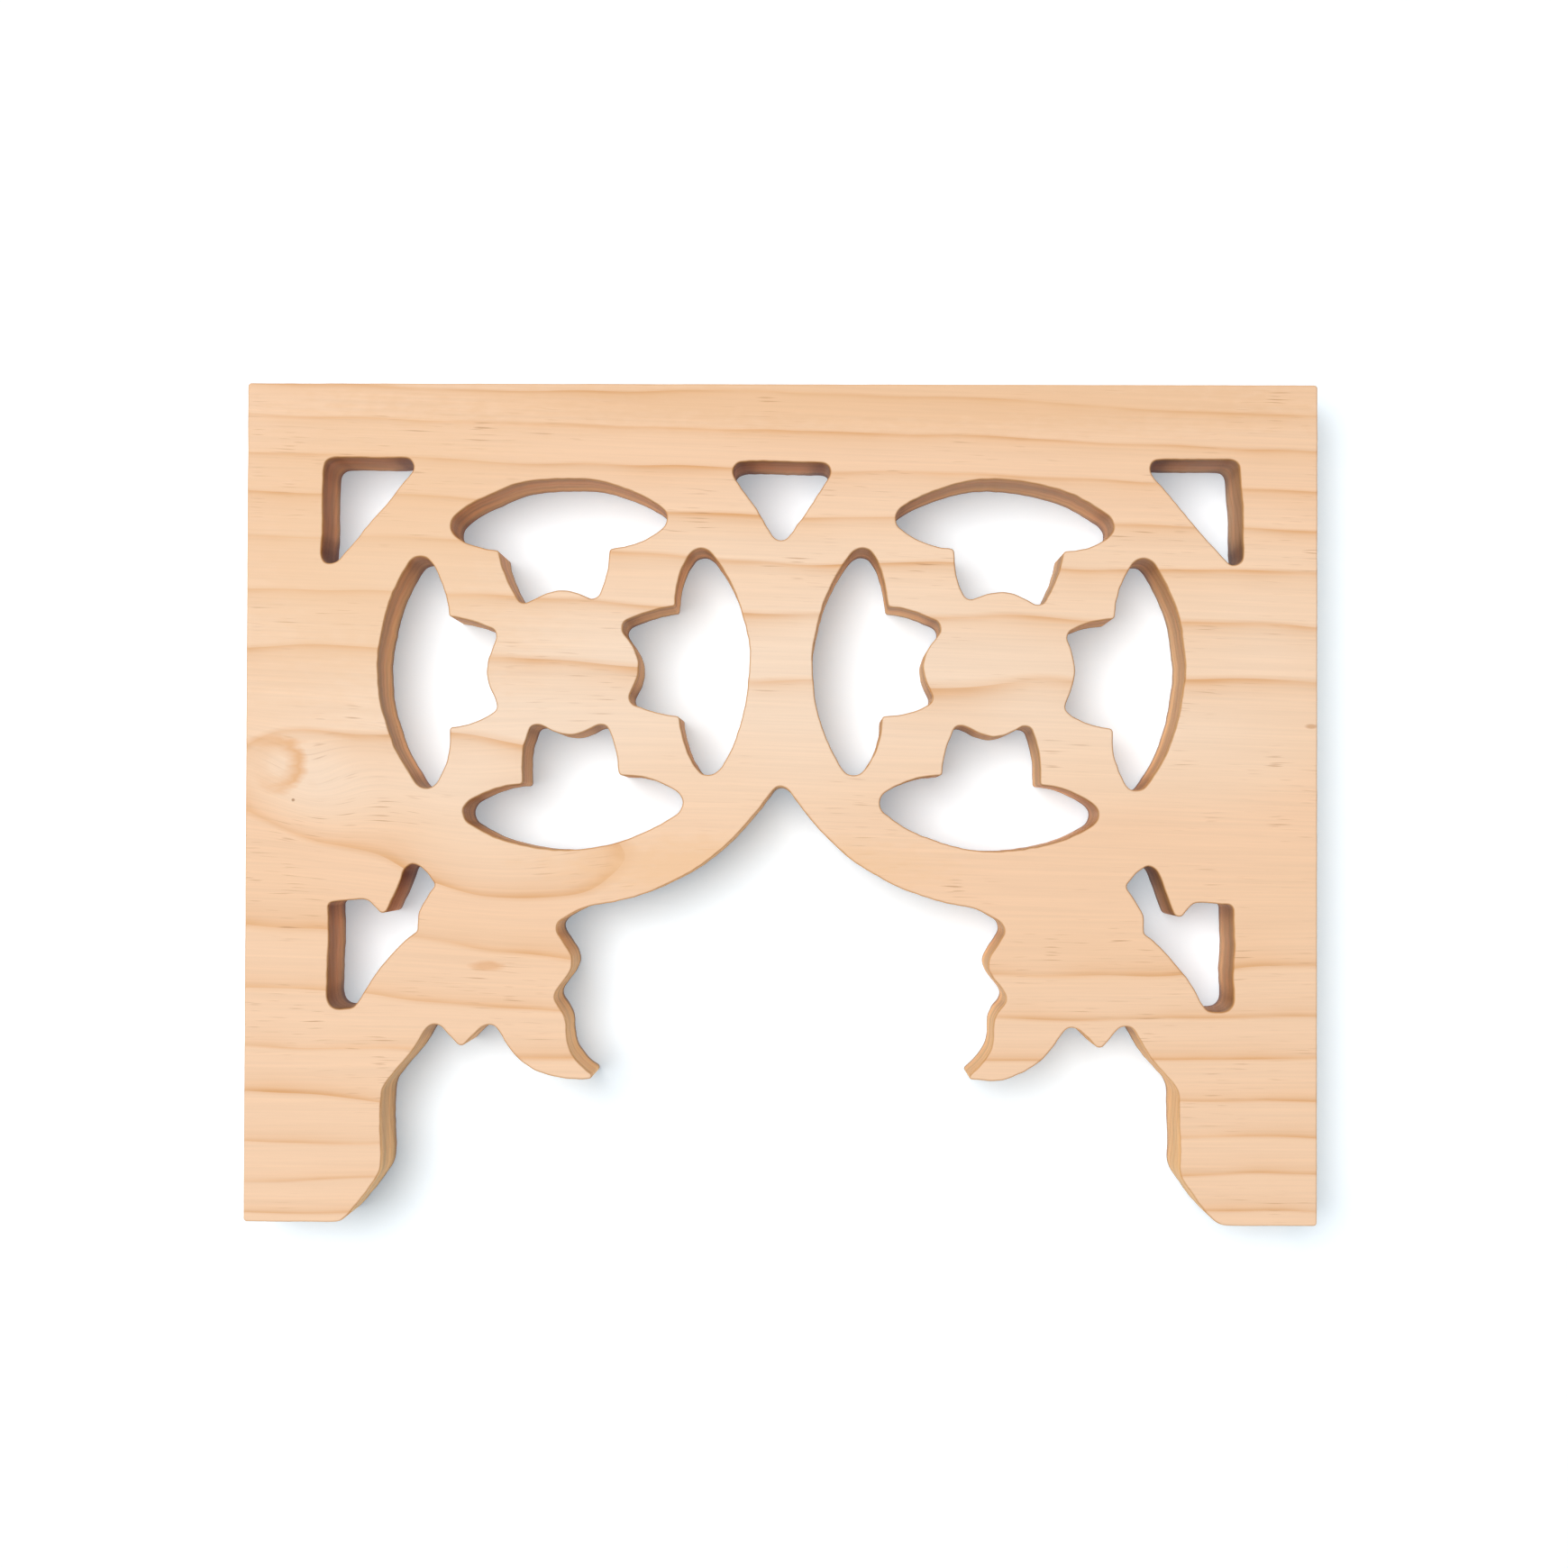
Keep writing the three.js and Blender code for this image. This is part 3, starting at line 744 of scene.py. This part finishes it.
# %% [markdown]
# ### The surface
#
# The latewood is harder than the springwood, so it stands a trace proud after planing, and the
# fibres leave a faint tooth. Both go into a shallow bump. To the eye the wood is satin, not
# glossy: planed softwood has a roughness of nearly 0.6, and plant fibre has an IOR of 1.53.

# %% Finish the pine
LATEWOOD_RELIEF = 0.35

relief = add_node(tree, "Math", {0: line, 1: LATEWOOD_RELIEF, 2: fibre_shade},
                  operation="MULTIPLY_ADD")
bump = add_node(tree, "Bump", {"Strength": 0.25, "Distance": 0.3 * MM, "Height": relief})
shader = add_node(tree, "BsdfPrincipled", {
    "Base Color": wood_colour,
    "Roughness": 0.58,
    "IOR": 1.53,
    "Specular IOR Level": 0.35,
    "Normal": bump,
})
add_node(tree, "OutputMaterial", {"Surface": shader})
board_mesh.materials.append(pine)
print(f"pine: {len(tree.nodes)} nodes")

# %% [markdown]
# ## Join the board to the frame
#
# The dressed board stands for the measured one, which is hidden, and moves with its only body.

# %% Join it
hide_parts("fretwork_panel")
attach(board, "root")
print(f"{board.name} stands for the measured board")

# %% [markdown]
# ## The sheet below
#
# The board lies on a wide sheet of white acrylic that is lit a little from below, as on a
# product photographer's light table. That keeps the shadows in the openings pale. Far out, the
# sheet curves up all round into a low wall, so that a view from the side has no dark horizon.
# The sheet is turned from one profile: rings of points round the middle, joined by faces.

# %% Lay the sheet
FLAT_REACH = 2.2
CURVE = 0.6
CURVE_STEP_DEGREES = 10
WALL_TOP = 0.85
SIDES = 96

turns = np.radians(np.arange(0, 90 + CURVE_STEP_DEGREES, CURVE_STEP_DEGREES))
profile = [(FLAT_REACH + CURVE * np.sin(turn), CURVE * (1 - np.cos(turn))) for turn in turns]
profile.append((FLAT_REACH + CURVE, WALL_TOP))
around = 2 * np.pi * np.arange(SIDES) / SIDES
sheet_spots = [(0, 0, 0)]
for out, up in profile:
    sheet_spots += [(out * np.cos(angle), out * np.sin(angle), up) for angle in around]
following = [(i + 1) % SIDES for i in range(SIDES)]
sheet_faces = [(0, 1 + i, 1 + following[i]) for i in range(SIDES)]
for row in range(len(profile) - 1):
    inner, outer = 1 + row * SIDES, 1 + (row + 1) * SIDES
    sheet_faces += [(inner + i, outer + i, outer + following[i], inner + following[i])
                    for i in range(SIDES)]
sheet_mesh = bpy.data.meshes.new("white_sheet")
sheet_mesh.from_pydata(sheet_spots, [], sheet_faces)
sheet_mesh.polygons.foreach_set("use_smooth", [True] * len(sheet_mesh.polygons))
sheet = bpy.data.objects.new("white_sheet", sheet_mesh)
sheet.location.z = low[2]
bpy.context.collection.objects.link(sheet)
print(f"sheet: flat out to {FLAT_REACH} m, then up to {WALL_TOP} m")

# %% [markdown]
# The flat part is opal acrylic: a faintly blue white with a soft glow, which cools the shadows
# in the openings. The curved part is matt white card, which stays plain behind the board.

# %% Finish the sheet
SHEET_FINISHES = {
    "opal_acrylic": {
        "Base Color": colour("#dfe3e6"),
        "Roughness": 0.9,
        "Emission Color": colour("#dcf2ff"),
        "Emission Strength": 0.36,
    },
    "white_card": {"Base Color": colour("#e3e5e8"), "Roughness": 0.9},
}

for name, sockets in SHEET_FINISHES.items():
    finish, tree = empty_material(name)
    shader = add_node(tree, "BsdfPrincipled", sockets)
    add_node(tree, "OutputMaterial", {"Surface": shader})
    sheet_mesh.materials.append(finish)
is_card = [int(i >= SIDES) for i in range(len(sheet_faces))]
sheet_mesh.polygons.foreach_set("material_index", is_card)
print(f"sheet: {SIDES} acrylic faces, {sum(is_card)} card faces")

# %% [markdown]
# ## The light
#
# One very large round soft box hangs almost overhead, a little to the left and up. The shadows
# fall to the right of each edge and fade to white within 15 mm, and both the left and the right
# walls still see part of the lamp. A dim white room adds a trace of light from all round.

# %% Light the board
LAMP_PLACE = Vector((-1.95, 1.0, 9.0))
LAMP_ACROSS = 5.5
LAMP_WATTS = 915
ROOM_GLOW = 0.03

lamp_data = bpy.data.lights.new("soft_box", "AREA")
lamp_data.shape = "DISK"
lamp_data.size = LAMP_ACROSS
lamp_data.energy = LAMP_WATTS
lamp_data.color = colour("#ffffff")[:3]
lamp = bpy.data.objects.new("soft_box", lamp_data)
lamp.location = LAMP_PLACE
lamp.rotation_euler = LAMP_PLACE.to_track_quat("Z", "Y").to_euler()
bpy.context.collection.objects.link(lamp)

room = bpy.data.worlds.new("white_room")
room.use_nodes = True
background = room.node_tree.nodes["Background"]
background.inputs["Color"].default_value = colour("#f6f9ff")
background.inputs["Strength"].default_value = ROOM_GLOW
bpy.context.scene.world = room
bpy.context.scene.view_settings.view_transform = "Standard"
print(f"lamp {LAMP_PLACE.length:.1f} m away, {LAMP_ACROSS} m across, {LAMP_WATTS} W")
